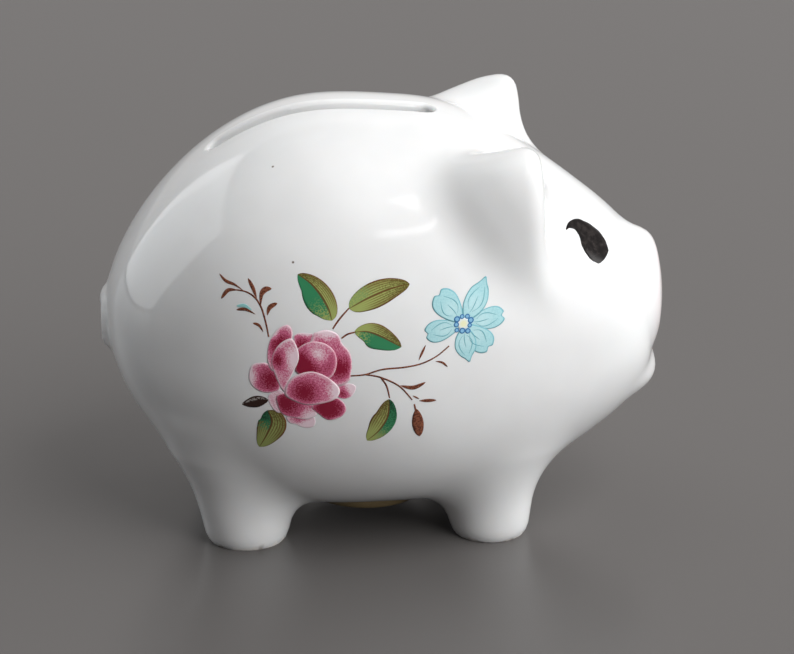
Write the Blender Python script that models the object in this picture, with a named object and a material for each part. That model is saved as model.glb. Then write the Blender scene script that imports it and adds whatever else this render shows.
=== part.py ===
"""Piggy bank in glazed china with a pull-out rubber stopper, coin slot, painted eyes and a flower spray."""

import math

import bmesh
import bpy
import numpy as np

MM = 0.001

# Side and plan of the hollow body, station by station: x, back, belly, half width
STATIONS = (
    (-54.3, 44.5, 44.5, 0.0),
    (-50.0, 58.0, 27.8, 18.0),
    (-42.0, 69.0, 17.0, 26.5),
    (-30.0, 78.9, 8.9, 33.8),
    (-14.0, 84.7, 4.9, 37.8),
    (2.0, 84.6, 4.7, 37.8),
    (16.0, 82.1, 5.8, 35.0),
    (28.0, 75.4, 9.8, 30.5),
    (38.0, 68.2, 15.2, 25.5),
    (48.0, 60.3, 22.5, 20.0),
    (60.0, 51.5, 31.0, 15.0),
)
SQUARENESS = 2.25
CENTRE_Z = 44.0
WALL = 3.2

# Snout, lip and tail
FACE_X = 54.6
SNOUT_X = 56.0
SNOUT_Z = 46.3
SNOUT_RADIUS = 11.2
LIP_CENTRE = (50.0, 0.0, 29.5)
LIP_RADII = (5.3, 9.5, 3.8)
TAIL_X = -53.0
TAIL_Z = 42.0
TAIL_RING = 4.4
TAIL_THICK = 2.3

# Ears
EAR_CENTRE = (25.5, 22.5, 68.5)
EAR_RADII = (14.3, 9.0, 15.2)
EAR_LEAN = 0.10
EAR_FRONT_X = 29.7
EAR_TOP_Z = 84.6
EAR_ROOT_CUT = (0.8, 14.8, 0.6, 69.5)
EAR_DISH_CENTRE = (34.6, 22.5, 70.5)
EAR_DISH_RADII = (6.5, 5.6, 9.5)

# Feet: x, y, half length, half breadth, backward sweep of the haunch
REAR_FOOT = (-27.4, 15.4, 8.2, 7.2, 4.0)
FRONT_FOOT = (21.0, 15.0, 7.7, 7.0, -1.5)
FOOT_REACH = 1.5

# Coin slot
SLOT_REAR_X = -33.4
SLOT_FRONT_X = 10.4
SLOT_WIDTH = 4.6

# Stopper and the opening that it closes
HOLE_X = -3.0
HOLE_RADIUS = 10.5
SEAT_Z = 6.3
STOPPER_GAP = 0.3
FLANGE_LAP = 2.5
FLANGE_RADIUS = HOLE_RADIUS + FLANGE_LAP
SEAT_CLEARANCE = 1.2
FLANGE_THICK = 2.0
GROOVE_DEPTH = 0.5
BEAD_HEIGHT = 2.8
CUP_WALL = 2.7
CUP_ROOF = 2.4

# Painted skins
SKIN_GAP = 0.3
SKIN_THICK = 0.25
ROSE = (-16.8, 42.8, 9.7, 10.0)
BLOSSOM = (13.6, 52.6, 8.2, 2.6)
# Leaves: node, base x, base z, tip x, tip z, breadth, colour
LEAVES = (
    ("leaf_upper_left", -11.2, 55.2, -17.2, 62.8, 4.4, "emerald"),
    ("leaf_upper_right", -7.8, 57.0, 3.4, 61.2, 4.4, "olive"),
    ("leaf_middle", -6.7, 52.6, 1.9, 49.4, 4.4, "emerald"),
    ("leaf_lower_left", -22.6, 32.4, -25.2, 27.4, 4.8, "olive"),
    ("leaf_lower_right", 0.3, 38.8, -4.5, 29.6, 4.6, "olive"),
    ("dark_bud_leaf", -29.2, 36.4, -25.9, 36.8, 2.0, "charcoal"),
)
# Eyes: each place along the spine as x and its drop below the back of the head
EYE_SPINE = ((35.0, 6.07), (37.2, 3.91), (39.0, 3.52), (40.4, 4.52), (41.0, 6.25), (40.6, 7.76))
EYE_HALF_WIDTHS = (0.35, 0.9, 1.5, 2.0, 1.8, 0.8)

# Mesh fineness
BODY_AROUND = 64
BODY_RINGS = 44
CAVITY_AROUND = 28
CAVITY_RINGS = 20
ROUND_STEPS = 32

COLOURS = {
    "china": ((0.86, 0.87, 0.87), 0.08),
    "rubber": ((0.16, 0.13, 0.08), 0.6),
    "black": ((0.02, 0.015, 0.012), 0.15),
    "rose": ((0.50, 0.06, 0.17), 0.15),
    "turquoise": ((0.33, 0.66, 0.70), 0.15),
    "emerald": ((0.06, 0.26, 0.12), 0.15),
    "olive": ((0.22, 0.27, 0.06), 0.15),
    "charcoal": ((0.05, 0.04, 0.04), 0.15),
}


def clear_scene():
    for obj in list(bpy.data.objects):
        bpy.data.objects.remove(obj, do_unlink=True)


def material(name):
    colour, roughness = COLOURS[name]
    made = bpy.data.materials.get(name) or bpy.data.materials.new(name)
    made.use_nodes = True
    shader = made.node_tree.nodes["Principled BSDF"]
    shader.inputs["Base Color"].default_value = (*colour, 1.0)
    shader.inputs["Roughness"].default_value = roughness
    shader.inputs["Metallic"].default_value = 0.0
    made.diffuse_color = (*colour, 1.0)
    return made


def add_object(name, points, faces, colour):
    """A mesh object from points in millimetres, its faces turned outward."""
    mesh = bpy.data.meshes.new(name)
    mesh.from_pydata([tuple(c * MM for c in p) for p in points], [], faces)
    work = bmesh.new()
    work.from_mesh(mesh)
    bmesh.ops.recalc_face_normals(work, faces=work.faces)
    work.to_mesh(mesh)
    work.free()
    obj = bpy.data.objects.new(name, mesh)
    bpy.context.scene.collection.objects.link(obj)
    if colour:
        mesh.materials.append(material(colour))
    return obj


def spline(knots, values):
    """A natural cubic through the values, as a function of position."""
    count = len(knots)
    step = np.diff(knots)
    matrix = np.eye(count)
    right = np.zeros(count)
    for i in range(1, count - 1):
        matrix[i, i - 1] = step[i - 1]
        matrix[i, i] = 2 * (step[i - 1] + step[i])
        matrix[i, i + 1] = step[i]
        right[i] = 6 * ((values[i + 1] - values[i]) / step[i] - (values[i] - values[i - 1]) / step[i - 1])
    bend = np.linalg.solve(matrix, right)

    def at(x):
        x = np.clip(x, knots[0], knots[-1])
        i = np.clip(np.searchsorted(knots, x) - 1, 0, count - 2)
        past = x - knots[i]
        left = knots[i + 1] - x
        cubic = (bend[i] * left**3 + bend[i + 1] * past**3) / (6 * step[i])
        low = (values[i] / step[i] - bend[i] * step[i] / 6) * left
        high = (values[i + 1] / step[i] - bend[i + 1] * step[i] / 6) * past
        return cubic + low + high

    return at


TAIL_END = STATIONS[0][0]
TABLE = np.array(STATIONS)
ALONG = np.sqrt(TABLE[:, 0] - TAIL_END)
MIDDLE = spline(ALONG, (TABLE[:, 1] + TABLE[:, 2]) / 2)
HALF_HEIGHT = spline(ALONG, (TABLE[:, 1] - TABLE[:, 2]) / 2)
HALF_WIDTH = spline(ALONG, TABLE[:, 3])


def back_line(x):
    along = math.sqrt(x - TAIL_END)
    return float(MIDDLE(along) + HALF_HEIGHT(along))


def join(a, b, blend):
    """The smooth union of two distance fields."""
    share = np.clip(0.5 + 0.5 * (b - a) / blend, 0, 1)
    return b * (1 - share) + a * share - blend * share * (1 - share)


def common(a, b, blend):
    """The smooth intersection of two distance fields."""
    return -join(-a, -b, blend)


def ellipsoid(x, y, z, centre, radii, lean=0.0):
    dy = y - centre[1]
    dz = z - centre[2]
    across = dy * math.cos(lean) - dz * math.sin(lean)
    upward = dy * math.sin(lean) + dz * math.cos(lean)
    reach = np.sqrt(((x - centre[0]) / radii[0]) ** 2 + (across / radii[1]) ** 2 + (upward / radii[2]) ** 2)
    return (reach - 1) * min(radii) * 1.2


def egg(x, y, z, inset=0.0):
    """The body of stations alone, drawn in all round by the inset."""
    along = np.sqrt(np.clip(x - TAIL_END - inset, 0, None))
    wide = np.maximum(HALF_WIDTH(along) - inset, 0.02)
    tall = np.maximum(HALF_HEIGHT(along) - inset, 0.02)
    across = (y / wide) ** SQUARENESS
    upward = (np.abs(z - MIDDLE(along)) / tall) ** SQUARENESS
    reach = (across + upward) ** (1 / SQUARENESS)
    field = np.clip((reach - 1) * np.minimum(np.sqrt(wide * tall), 30), -30, 60)
    return np.maximum(field, TAIL_END + inset - x)


def foot(x, y, z, size):
    foot_x, foot_y, half_length, half_breadth, sweep = size
    rise = np.clip(z / 20, 0, 1)
    along = (x - foot_x + sweep * rise**1.5) / half_length
    across = (y - foot_y * (1 + 0.1 * rise)) / half_breadth
    leg = (np.hypot(along, across) - 1 - 0.16 * rise) * min(half_length, half_breadth)
    leg = common(leg, z - 26, 2.0)
    return common(leg, -z - FOOT_REACH, 4.0)


def ear(x, y, z):
    flap = ellipsoid(x, y, z, EAR_CENTRE, EAR_RADII, EAR_LEAN)
    flap = common(flap, x - EAR_FRONT_X + 0.02 * (z - 62), 3.6)
    flap = common(flap, z - EAR_TOP_Z - 0.20 * (x - 26), 4.5)
    back_slope, back_x, back_fall, back_z = EAR_ROOT_CUT
    flap = common(flap, back_slope * (back_x - x) + back_fall * (back_z - z), 6.0)
    dish = ellipsoid(x, y, z, EAR_DISH_CENTRE, EAR_DISH_RADII, EAR_LEAN)
    return common(flap, -dish, 1.5)


def outside(points):
    """The distance field of the whole outer surface, in millimetres."""
    x = points[..., 0]
    y = np.abs(points[..., 1])
    z = points[..., 2]
    face = FACE_X - 0.012 * y**2 - 0.012 * (z - 40) ** 2
    field = common(egg(x, y, z), x - face, 5.0)
    from_axis = np.hypot(y, z - SNOUT_Z)
    disc = common(from_axis - SNOUT_RADIUS, x - SNOUT_X + 0.016 * from_axis**2, 3.0)
    disc = common(disc, 40 - x, 1.0)
    field = join(field, disc, 3.5)
    field = join(field, ellipsoid(x, y, z, LIP_CENTRE, LIP_RADII), 3.6)
    for size in (REAR_FOOT, FRONT_FOOT):
        field = join(field, foot(x, y, z, size), 6.5)
    field = join(field, ear(x, y, z), 7.0)
    ring = np.hypot(np.hypot(y, z - TAIL_Z) - TAIL_RING, x - TAIL_X) - TAIL_THICK
    return join(field, ring, 3.0)


def inside(points):
    """The distance field of the coin space."""
    x = points[..., 0]
    z = points[..., 2]
    field = egg(x, np.abs(points[..., 1]), z, WALL)
    field = common(field, x - FACE_X + WALL + 1.6, 5.0)
    return common(field, SEAT_Z + WALL - z, 2.0)


def cast(origin, directions, field, far):
    """The outermost crossing of the field's surface along each direction."""
    steps = np.linspace(0, far, 221)
    near = np.zeros(directions.shape[:-1])
    for step in steps:
        near = np.where(field(origin + directions * step) < 0, step, near)
    beyond = near + steps[1]
    for _ in range(24):
        half = (near + beyond) / 2
        within = field(origin + directions * half[..., None]) < 0
        near = np.where(within, half, near)
        beyond = np.where(within, beyond, half)
    return origin + directions * near[..., None]


def ball_faces(rings, around):
    """Faces between the rings of a closed ball, whose last two points are its poles."""
    faces = []
    for i in range(rings - 1):
        for j in range(around):
            k = (j + 1) % around
            faces.append((i * around + j, i * around + k, (i + 1) * around + k, (i + 1) * around + j))
    front = rings * around
    last = (rings - 1) * around
    for j in range(around):
        k = (j + 1) % around
        faces.append((front, k, j))
        faces.append((front + 1, last + j, last + k))
    return faces


def shell(name, field, rings, around, colour=None):
    """A closed surface found from the middle of the body outward."""
    polar = np.linspace(0, math.pi, rings + 2)[1:-1, None]
    turn = np.linspace(0, 2 * math.pi, around, endpoint=False)[None, :]
    sides = np.sin(polar)
    grid = np.stack([np.cos(polar) * np.ones_like(turn), sides * np.sin(turn), sides * np.cos(turn)], -1)
    directions = np.concatenate([grid.reshape(-1, 3), [(1, 0, 0), (-1, 0, 0)]])
    points = cast(np.array((0.0, 0.0, CENTRE_Z)), directions, field, 110.0)
    return add_object(name, points, ball_faces(rings, around), colour)


def prism(name, outline, low, high):
    """A closed upright prism, for cutting."""
    count = len(outline)
    points = [(x, y, low) for x, y in outline] + [(x, y, high) for x, y in outline]
    faces = [tuple(range(count)), tuple(range(2 * count - 1, count - 1, -1))]
    for i in range(count):
        j = (i + 1) % count
        faces.append((i, count + i, count + j, j))
    return add_object(name, points, faces, None)


def circle(x, y, radius, steps=ROUND_STEPS):
    turns = [2 * math.pi * i / steps for i in range(steps)]
    return [(x + radius * math.cos(t), y + radius * math.sin(t)) for t in turns]


def slot_outline():
    """A long slot with round ends."""
    radius = SLOT_WIDTH / 2
    outline = []
    for i in range(9):
        turn = -math.pi / 2 + math.pi * i / 8
        outline.append((SLOT_FRONT_X - radius + radius * math.cos(turn), radius * math.sin(turn)))
    for i in range(9):
        turn = math.pi / 2 + math.pi * i / 8
        outline.append((SLOT_REAR_X + radius + radius * math.cos(turn), radius * math.sin(turn)))
    return outline


def cut(obj, cutter):
    modifier = obj.modifiers.new("cut_" + cutter.name, "BOOLEAN")
    modifier.operation = "DIFFERENCE"
    modifier.solver = "EXACT"
    modifier.object = cutter
    cutter.hide_render = True
    cutter.display_type = "WIRE"


def china_body():
    body = shell("china_body", outside, BODY_RINGS, BODY_AROUND, "china")
    below = [(-80, -60), (80, -60), (80, 60), (-80, 60)]
    cut(body, shell("coin_space", inside, CAVITY_RINGS, CAVITY_AROUND))
    cut(body, prism("table_plane", below, -20.0, 0.0))
    cut(body, prism("stopper_seat", circle(HOLE_X, 0, FLANGE_RADIUS + SEAT_CLEARANCE), -10.0, SEAT_Z))
    cut(body, prism("stopper_hole", circle(HOLE_X, 0, HOLE_RADIUS), -5.0, SEAT_Z + 3 * WALL))
    top = max(back for _, back, _, _ in STATIONS)
    cut(body, prism("slot_cutter", slot_outline(), top - 22.7, top + 13.3))


def stopper():
    """A rubber plug turned about its own axis, with a flange below the seat and a hollow underside."""
    flange_top = SEAT_Z - STOPPER_GAP
    flange_low = flange_top - FLANGE_THICK
    bead = HOLE_RADIUS - STOPPER_GAP
    neck = bead - GROOVE_DEPTH
    bead_low = SEAT_Z + WALL + STOPPER_GAP
    top = bead_low + BEAD_HEIGHT
    cup = neck - CUP_WALL
    profile = (
        (bead - 1.4, top),
        (bead - 0.3, top - 0.7),
        (bead, top - 1.6),
        (bead - 0.1, bead_low + 0.4),
        (neck, bead_low - 0.2),
        (neck, flange_top),
        (FLANGE_RADIUS - 0.5, flange_top),
        (FLANGE_RADIUS, flange_top - 0.5),
        (FLANGE_RADIUS, flange_low + 0.6),
        (FLANGE_RADIUS - 0.8, flange_low),
        (cup + 0.8, flange_low),
        (cup, flange_low + 0.6),
        (cup, top - CUP_ROOF - 0.8),
        (cup - 0.8, top - CUP_ROOF),
    )
    points = []
    for radius, height in profile:
        points += [(x, y, height - flange_low) for x, y in circle(0, 0, radius)]
    points += [(0, 0, top - flange_low), (0, 0, top - CUP_ROOF - flange_low)]
    obj = add_object("stopper", points, ball_faces(len(profile), ROUND_STEPS), "rubber")
    obj.location = (HOLE_X * MM, 0, flange_low * MM)


def raised(places, side, lift):
    """Points at these (x, z) places, lifted off the outer surface on the right (-1) or left (1) side."""
    start = np.stack([places[:, 0], np.zeros(len(places)), places[:, 1]], -1)
    sideways = np.zeros_like(start)
    sideways[:, 1] = side
    points = cast(start, sideways, outside, 60.0)
    slope = np.zeros_like(points)
    for axis in range(3):
        ahead = points.copy()
        behind = points.copy()
        ahead[:, axis] += 0.05
        behind[:, axis] -= 0.05
        slope[:, axis] = outside(ahead) - outside(behind)
    slope /= np.linalg.norm(slope, axis=1)[:, None]
    return points + slope * lift


def skin(name, places, faces, rim, side, colour):
    """A thin closed skin over the flank, from its places, faces and the order of its rim."""
    places = np.array(places)
    count = len(places)
    low = raised(places, side, SKIN_GAP)
    high = raised(places, side, SKIN_GAP + SKIN_THICK)
    closed = list(faces) + [tuple(count + i for i in reversed(face)) for face in faces]
    for i, a in enumerate(rim):
        b = rim[(i + 1) % len(rim)]
        closed.append((b, a, count + a, count + b))
    add_object(name, np.concatenate([low, high]), closed, colour)


def round_skin(name, centre, outline, side, colour, rings=3):
    """A skin whose outline gives a radius for each turn."""
    count = len(outline)
    places = [centre]
    for ring in range(1, rings + 1):
        share = ring / rings
        for i, radius in enumerate(outline):
            turn = 2 * math.pi * i / count
            x = centre[0] + share * radius * math.cos(turn)
            places.append((x, centre[1] + share * radius * math.sin(turn)))
    faces = [(0, 1 + i, 1 + (i + 1) % count) for i in range(count)]
    for ring in range(rings - 1):
        first = 1 + ring * count
        for i in range(count):
            j = (i + 1) % count
            faces.append((first + i, first + count + i, first + count + j, first + j))
    rim = [1 + (rings - 1) * count + i for i in range(count)]
    skin(name, places, faces, rim, side, colour)


def strip_skin(name, spine, half_widths, side, colour):
    """A skin along a spine of (x, z) places, three points across."""
    spine = np.array(spine, float)
    way = np.gradient(spine, axis=0)
    way /= np.linalg.norm(way, axis=1)[:, None]
    across = np.stack([-way[:, 1], way[:, 0]], -1) * np.array(half_widths)[:, None]
    places = np.concatenate([spine - across, spine, spine + across])
    count = len(spine)
    faces = []
    for column in (0, count):
        for i in range(count - 1):
            faces.append((column + i, column + i + 1, column + count + i + 1, column + count + i))
    rim = list(range(count)) + [2 * count - 1] + list(range(3 * count - 1, 2 * count - 1, -1)) + [count]
    skin(name, places, faces, rim, side, colour)


def leaf(name, base_x, base_z, tip_x, tip_z, breadth, colour):
    shares = np.linspace(0, 1, 9)
    spine = [(base_x + s * (tip_x - base_x), base_z + s * (tip_z - base_z)) for s in shares]
    half_widths = [max(0.12, breadth / 2 * math.sin(math.pi * s**0.9) ** 0.85) for s in shares]
    strip_skin(name, spine, half_widths, -1, colour)


def rose():
    x, z, half_length, half_height = ROSE
    outline = []
    for i in range(36):
        turn = 2 * math.pi * i / 36
        lobe = 1 + 0.05 * math.cos(7 * turn + 0.6)
        outline.append(lobe / math.hypot(math.cos(turn) / half_length, math.sin(turn) / half_height))
    round_skin("rose_bloom", (x, z), outline, -1, "rose", 4)


def blossom():
    x, z, reach, notch = BLOSSOM
    outline = []
    for i in range(48):
        petal = abs(math.cos(3 * (2 * math.pi * i / 48) - 0.25))
        outline.append(notch + (reach - notch) * petal**0.55)
    round_skin("blue_blossom", (x, z), outline, -1, "turquoise")


def main():
    clear_scene()
    china_body()
    stopper()
    eye_spine = [(x, back_line(x) - drop) for x, drop in EYE_SPINE]
    strip_skin("right_eye", eye_spine, EYE_HALF_WIDTHS, -1, "black")
    strip_skin("left_eye", eye_spine, EYE_HALF_WIDTHS, 1, "black")
    rose()
    blossom()
    for entry in LEAVES:
        leaf(*entry)


main()
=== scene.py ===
import math

import bmesh
import bpy
import numpy as np
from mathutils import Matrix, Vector


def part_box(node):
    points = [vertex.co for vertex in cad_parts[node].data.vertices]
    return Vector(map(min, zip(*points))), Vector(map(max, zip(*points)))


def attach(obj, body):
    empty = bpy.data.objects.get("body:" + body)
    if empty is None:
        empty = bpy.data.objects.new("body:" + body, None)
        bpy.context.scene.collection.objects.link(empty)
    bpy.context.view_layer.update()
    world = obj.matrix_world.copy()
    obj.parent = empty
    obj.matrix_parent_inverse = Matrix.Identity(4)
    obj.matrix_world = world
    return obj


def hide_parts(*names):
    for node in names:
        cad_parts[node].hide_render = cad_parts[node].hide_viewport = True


mm = 0.001
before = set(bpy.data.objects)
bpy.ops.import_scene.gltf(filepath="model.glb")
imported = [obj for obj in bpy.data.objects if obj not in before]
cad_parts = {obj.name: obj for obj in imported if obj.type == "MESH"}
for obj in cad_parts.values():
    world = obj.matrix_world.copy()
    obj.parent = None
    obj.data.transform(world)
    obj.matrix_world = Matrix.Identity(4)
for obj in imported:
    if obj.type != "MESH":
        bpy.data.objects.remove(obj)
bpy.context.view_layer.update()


# shared helpers

def say(words):
    print("scene:", words, flush=True)


def nodeMaterial(name):
    made = bpy.data.materials.new(name)
    made.use_nodes = True
    tree = made.node_tree
    return made, tree, tree.nodes["Principled BSDF"]


def addNode(tree, kind, settings=None, **values):
    node = tree.nodes.new(kind)
    for key, value in (settings or {}).items():
        setattr(node, key, value)
    for key, value in values.items():
        socket = node.inputs[int(key[1:])] if key[0] == "i" and key[1:].isdigit() else node.inputs[key]
        if isinstance(value, bpy.types.NodeSocket):
            tree.links.new(value, socket)
        else:
            socket.default_value = value
    return node


def calc(tree, operation, a, b=0.0, clamp=False):
    node = addNode(tree, "ShaderNodeMath", {"operation": operation, "use_clamp": clamp}, i0=a, i1=b)
    return node.outputs[0]


def mixColour(tree, share, a, b):
    node = tree.nodes.new("ShaderNodeMix")
    node.data_type = "RGBA"
    for socket, value in ((node.inputs[0], share), (node.inputs[6], a), (node.inputs[7], b)):
        if isinstance(value, bpy.types.NodeSocket):
            tree.links.new(value, socket)
        else:
            socket.default_value = value
    return node.outputs[2]


def readAttribute(tree, name):
    return addNode(tree, "ShaderNodeAttribute", {"attribute_name": name}).outputs["Fac"]


def stretch(tree, value, low, high):
    node = addNode(tree, "ShaderNodeMapRange", {"interpolation_type": "SMOOTHSTEP"}, Value=value)
    node.inputs["From Min"].default_value = low
    node.inputs["From Max"].default_value = high
    return node.outputs[0]


def ramp(tree, value, stops):
    node = addNode(tree, "ShaderNodeValToRGB", Fac=value)
    elements = node.color_ramp.elements
    while len(elements) < len(stops):
        elements.new(0.5)
    for element, (place, colour) in zip(elements, stops):
        element.position = place
        element.color = (*colour, 1.0)
    return node.outputs[0]


def finishMesh(name, work, values=None, material=None):
    mesh = bpy.data.meshes.new(name)
    bmesh.ops.recalc_face_normals(work, faces=work.faces)
    work.to_mesh(mesh)
    work.free()
    for key, numbers in (values or {}).items():
        mesh.attributes.new(key, "FLOAT", "POINT").data.foreach_set("value", np.asarray(numbers, np.float32))
    mesh.shade_smooth()
    obj = bpy.data.objects.new(name, mesh)
    bpy.context.scene.collection.objects.link(obj)
    if material:
        mesh.materials.append(material)
    return obj


# a smooth mesh from points in millimetres, with one float attribute for each name in values
def makeObject(name, points, faces, values=None, material=None):
    mesh = bpy.data.meshes.new(name)
    mesh.from_pydata(np.asarray(points, float) * mm, [], faces)
    work = bmesh.new()
    work.from_mesh(mesh)
    bpy.data.meshes.remove(mesh)
    return finishMesh(name, work, values, material)


# the body's form, as distance fields in millimetres

form = {
    # x, back, belly, half width
    "stations": (
        (-54.3, 44.5, 44.5, 0.0),
        (-50.0, 58.0, 27.8, 18.0),
        (-42.0, 69.0, 17.0, 26.5),
        (-30.0, 78.9, 8.9, 33.8),
        (-14.0, 84.7, 4.9, 37.8),
        (2.0, 84.6, 4.7, 37.8),
        (16.0, 82.1, 5.8, 35.0),
        (28.0, 75.4, 9.8, 30.5),
        (38.0, 68.2, 15.2, 25.5),
        (48.0, 60.3, 22.5, 20.0),
        (60.0, 51.5, 31.0, 15.0),
    ),
    "squareness": 2.25,
    "centre": (0.0, 0.0, 44.0),
    "wall": 3.2,
    # x, y, half length, half breadth, backward sweep
    "feet": ((-27.4, 15.4, 8.2, 7.2, 4.0), (21.0, 15.0, 7.7, 7.0, -1.5)),
    "footReach": 1.5,
    "faceX": 54.6,
    "snout": (56.0, 46.3, 11.2),
    "lip": ((50.0, 0.0, 29.5), (5.3, 9.5, 3.8)),
    # x, z, ring, thickness
    "tail": (-53.0, 42.0, 4.4, 2.3),
    "ear": ((25.5, 22.5, 68.5), (14.3, 9.0, 15.2)),
    "earDish": ((34.6, 22.5, 70.5), (6.5, 5.6, 9.5)),
    "earLean": 0.10,
    "earFrontX": 29.7,
    "earTopZ": 84.6,
    "earRootCut": (0.8, 14.8, 0.6, 69.5),
    # rear, front, width
    "slot": (-33.4, 10.4, 4.6),
    "slotLip": 1.0,
    "slotAbove": 65.0,
    "hole": (-3.0, 10.5),
    "seat": (14.2, 6.3),
    "around": 256,
    "rings": 184,
    "relaxBelow": 26.0,
    "relaxSteps": 40,
}


# a natural cubic through the numbers
def spline(knots, numbers):
    count = len(knots)
    step = np.diff(knots)
    matrix = np.eye(count)
    right = np.zeros(count)
    for i in range(1, count - 1):
        matrix[i, i - 1] = step[i - 1]
        matrix[i, i] = 2 * (step[i - 1] + step[i])
        matrix[i, i + 1] = step[i]
        right[i] = 6 * ((numbers[i + 1] - numbers[i]) / step[i] - (numbers[i] - numbers[i - 1]) / step[i - 1])
    bend = np.linalg.solve(matrix, right)

    def at(x):
        x = np.clip(x, knots[0], knots[-1])
        i = np.clip(np.searchsorted(knots, x) - 1, 0, count - 2)
        past = x - knots[i]
        left = knots[i + 1] - x
        cubic = (bend[i] * left**3 + bend[i + 1] * past**3) / (6 * step[i])
        low = (numbers[i] / step[i] - bend[i] * step[i] / 6) * left
        high = (numbers[i + 1] / step[i] - bend[i + 1] * step[i] / 6) * past
        return cubic + low + high

    return at


tailEnd = form["stations"][0][0]
table = np.array(form["stations"])
along = np.sqrt(table[:, 0] - tailEnd)
middle = spline(along, (table[:, 1] + table[:, 2]) / 2)
halfHeight = spline(along, (table[:, 1] - table[:, 2]) / 2)
halfWidth = spline(along, table[:, 3])


def join(a, b, blend):
    share = np.clip(0.5 + 0.5 * (b - a) / blend, 0, 1)
    return b * (1 - share) + a * share - blend * share * (1 - share)


def common(a, b, blend):
    return -join(-a, -b, blend)


def ellipsoid(x, y, z, centre, radii, lean=0.0):
    dy = y - centre[1]
    dz = z - centre[2]
    across = dy * math.cos(lean) - dz * math.sin(lean)
    upward = dy * math.sin(lean) + dz * math.cos(lean)
    reach = np.sqrt(((x - centre[0]) / radii[0]) ** 2 + (across / radii[1]) ** 2 + (upward / radii[2]) ** 2)
    return (reach - 1) * min(radii) * 1.2


def egg(x, y, z, inset=0.0):
    run = np.sqrt(np.clip(x - tailEnd - inset, 0, None))
    wide = np.maximum(halfWidth(run) - inset, 0.02)
    tall = np.maximum(halfHeight(run) - inset, 0.02)
    power = form["squareness"]
    reach = ((y / wide) ** power + (np.abs(z - middle(run)) / tall) ** power) ** (1 / power)
    field = np.clip((reach - 1) * np.minimum(np.sqrt(wide * tall), 30), -30, 60)
    return np.maximum(field, tailEnd + inset - x)


def foot(x, y, z, size):
    footX, footY, halfLength, halfBreadth, sweep = size
    rise = np.clip(z / 20, 0, 1)
    run = (x - footX + sweep * rise**1.5) / halfLength
    across = (y - footY * (1 + 0.1 * rise)) / halfBreadth
    leg = (np.hypot(run, across) - 1 - 0.16 * rise) * min(halfLength, halfBreadth)
    leg = common(leg, z - 26, 2.0)
    return common(leg, -z - form["footReach"], 4.0)


def ear(x, y, z):
    lean = form["earLean"]
    slope, rootX, fall, rootZ = form["earRootCut"]
    flap = ellipsoid(x, y, z, *form["ear"], lean)
    flap = common(flap, x - form["earFrontX"] + 0.02 * (z - 62), 3.6)
    flap = common(flap, z - form["earTopZ"] - 0.20 * (x - 26), 4.5)
    flap = common(flap, slope * (rootX - x) + fall * (rootZ - z), 6.0)
    return common(flap, -ellipsoid(x, y, z, *form["earDish"], lean), 1.5)


def outside(points):
    x = points[..., 0]
    y = np.abs(points[..., 1])
    z = points[..., 2]
    face = form["faceX"] - 0.012 * y**2 - 0.012 * (z - 40) ** 2
    field = common(egg(x, y, z), x - face, 5.0)
    snoutX, snoutZ, snoutRadius = form["snout"]
    fromAxis = np.hypot(y, z - snoutZ)
    disc = common(fromAxis - snoutRadius, x - snoutX + 0.016 * fromAxis**2, 3.0)
    disc = common(disc, 40 - x, 1.0)
    field = join(field, disc, 3.5)
    field = join(field, ellipsoid(x, y, z, *form["lip"]), 3.6)
    for size in form["feet"]:
        field = join(field, foot(x, y, z, size), 6.5)
    field = join(field, ear(x, y, z), 7.0)
    tailX, tailZ, tailRing, tailThick = form["tail"]
    ring = np.hypot(np.hypot(y, z - tailZ) - tailRing, x - tailX) - tailThick
    return join(field, ring, 3.0)


def inside(points):
    x = points[..., 0]
    z = points[..., 2]
    field = egg(x, np.abs(points[..., 1]), z, form["wall"])
    field = common(field, x - form["faceX"] + form["wall"] + 1.6, 5.0)
    return common(field, form["seat"][1] + form["wall"] - z, 2.0)


# the outermost crossing of the field's surface along each direction
def cast(origins, directions, field, near=0.0, far=110.0, steps=220):
    low = np.full(directions.shape[:-1], near)
    pace = (far - near) / steps
    for i in range(steps + 1):
        reach = near + i * pace
        low = np.where(field(origins + directions * reach) < 0, reach, low)
    high = low + pace
    for _ in range(20):
        half = (low + high) / 2
        within = field(origins + directions * half[..., None]) < 0
        low = np.where(within, half, low)
        high = np.where(within, high, half)
    return origins + directions * low[..., None]


def slopeAt(points, field):
    slope = np.zeros_like(points)
    for axis in range(3):
        ahead = points.copy()
        behind = points.copy()
        ahead[..., axis] += 0.05
        behind[..., axis] -= 0.05
        slope[..., axis] = field(ahead) - field(behind)
    return slope / np.linalg.norm(slope, axis=-1)[..., None]


def ballFaces(rings, around):
    faces = []
    for i in range(rings - 1):
        for j in range(around):
            k = (j + 1) % around
            faces.append((i * around + j, i * around + k, (i + 1) * around + k, (i + 1) * around + j))
    front = rings * around
    last = (rings - 1) * around
    for j in range(around):
        k = (j + 1) % around
        faces.append((front, k, j))
        faces.append((front + 1, last + j, last + k))
    return faces


def shell(name, field, rings, around, material):
    polar = np.linspace(0, math.pi, rings + 2)[1:-1, None]
    turn = np.linspace(0, 2 * math.pi, around, endpoint=False)[None, :]
    grid = [np.cos(polar) * np.ones_like(turn), np.sin(polar) * np.sin(turn), np.sin(polar) * np.cos(turn)]
    directions = np.concatenate([np.stack(grid, -1).reshape(-1, 3), [(1, 0, 0), (-1, 0, 0)]])
    points = cast(np.array(form["centre"]), directions, field)
    return makeObject(name, points, ballFaces(rings, around), None, material)


# china body

china = {
    "white": (0.80, 0.81, 0.815),
    "cream": (0.74, 0.745, 0.75),
    "blush": (0.84, 0.66, 0.68),
    "bisque": (0.70, 0.67, 0.63),
    "roughness": 0.09,
    "specks": ((-21.2, -18.9, 78.8), (-18.0, -33.2, 64.9)),
    "speckColour": (0.12, 0.08, 0.06),
}


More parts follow.
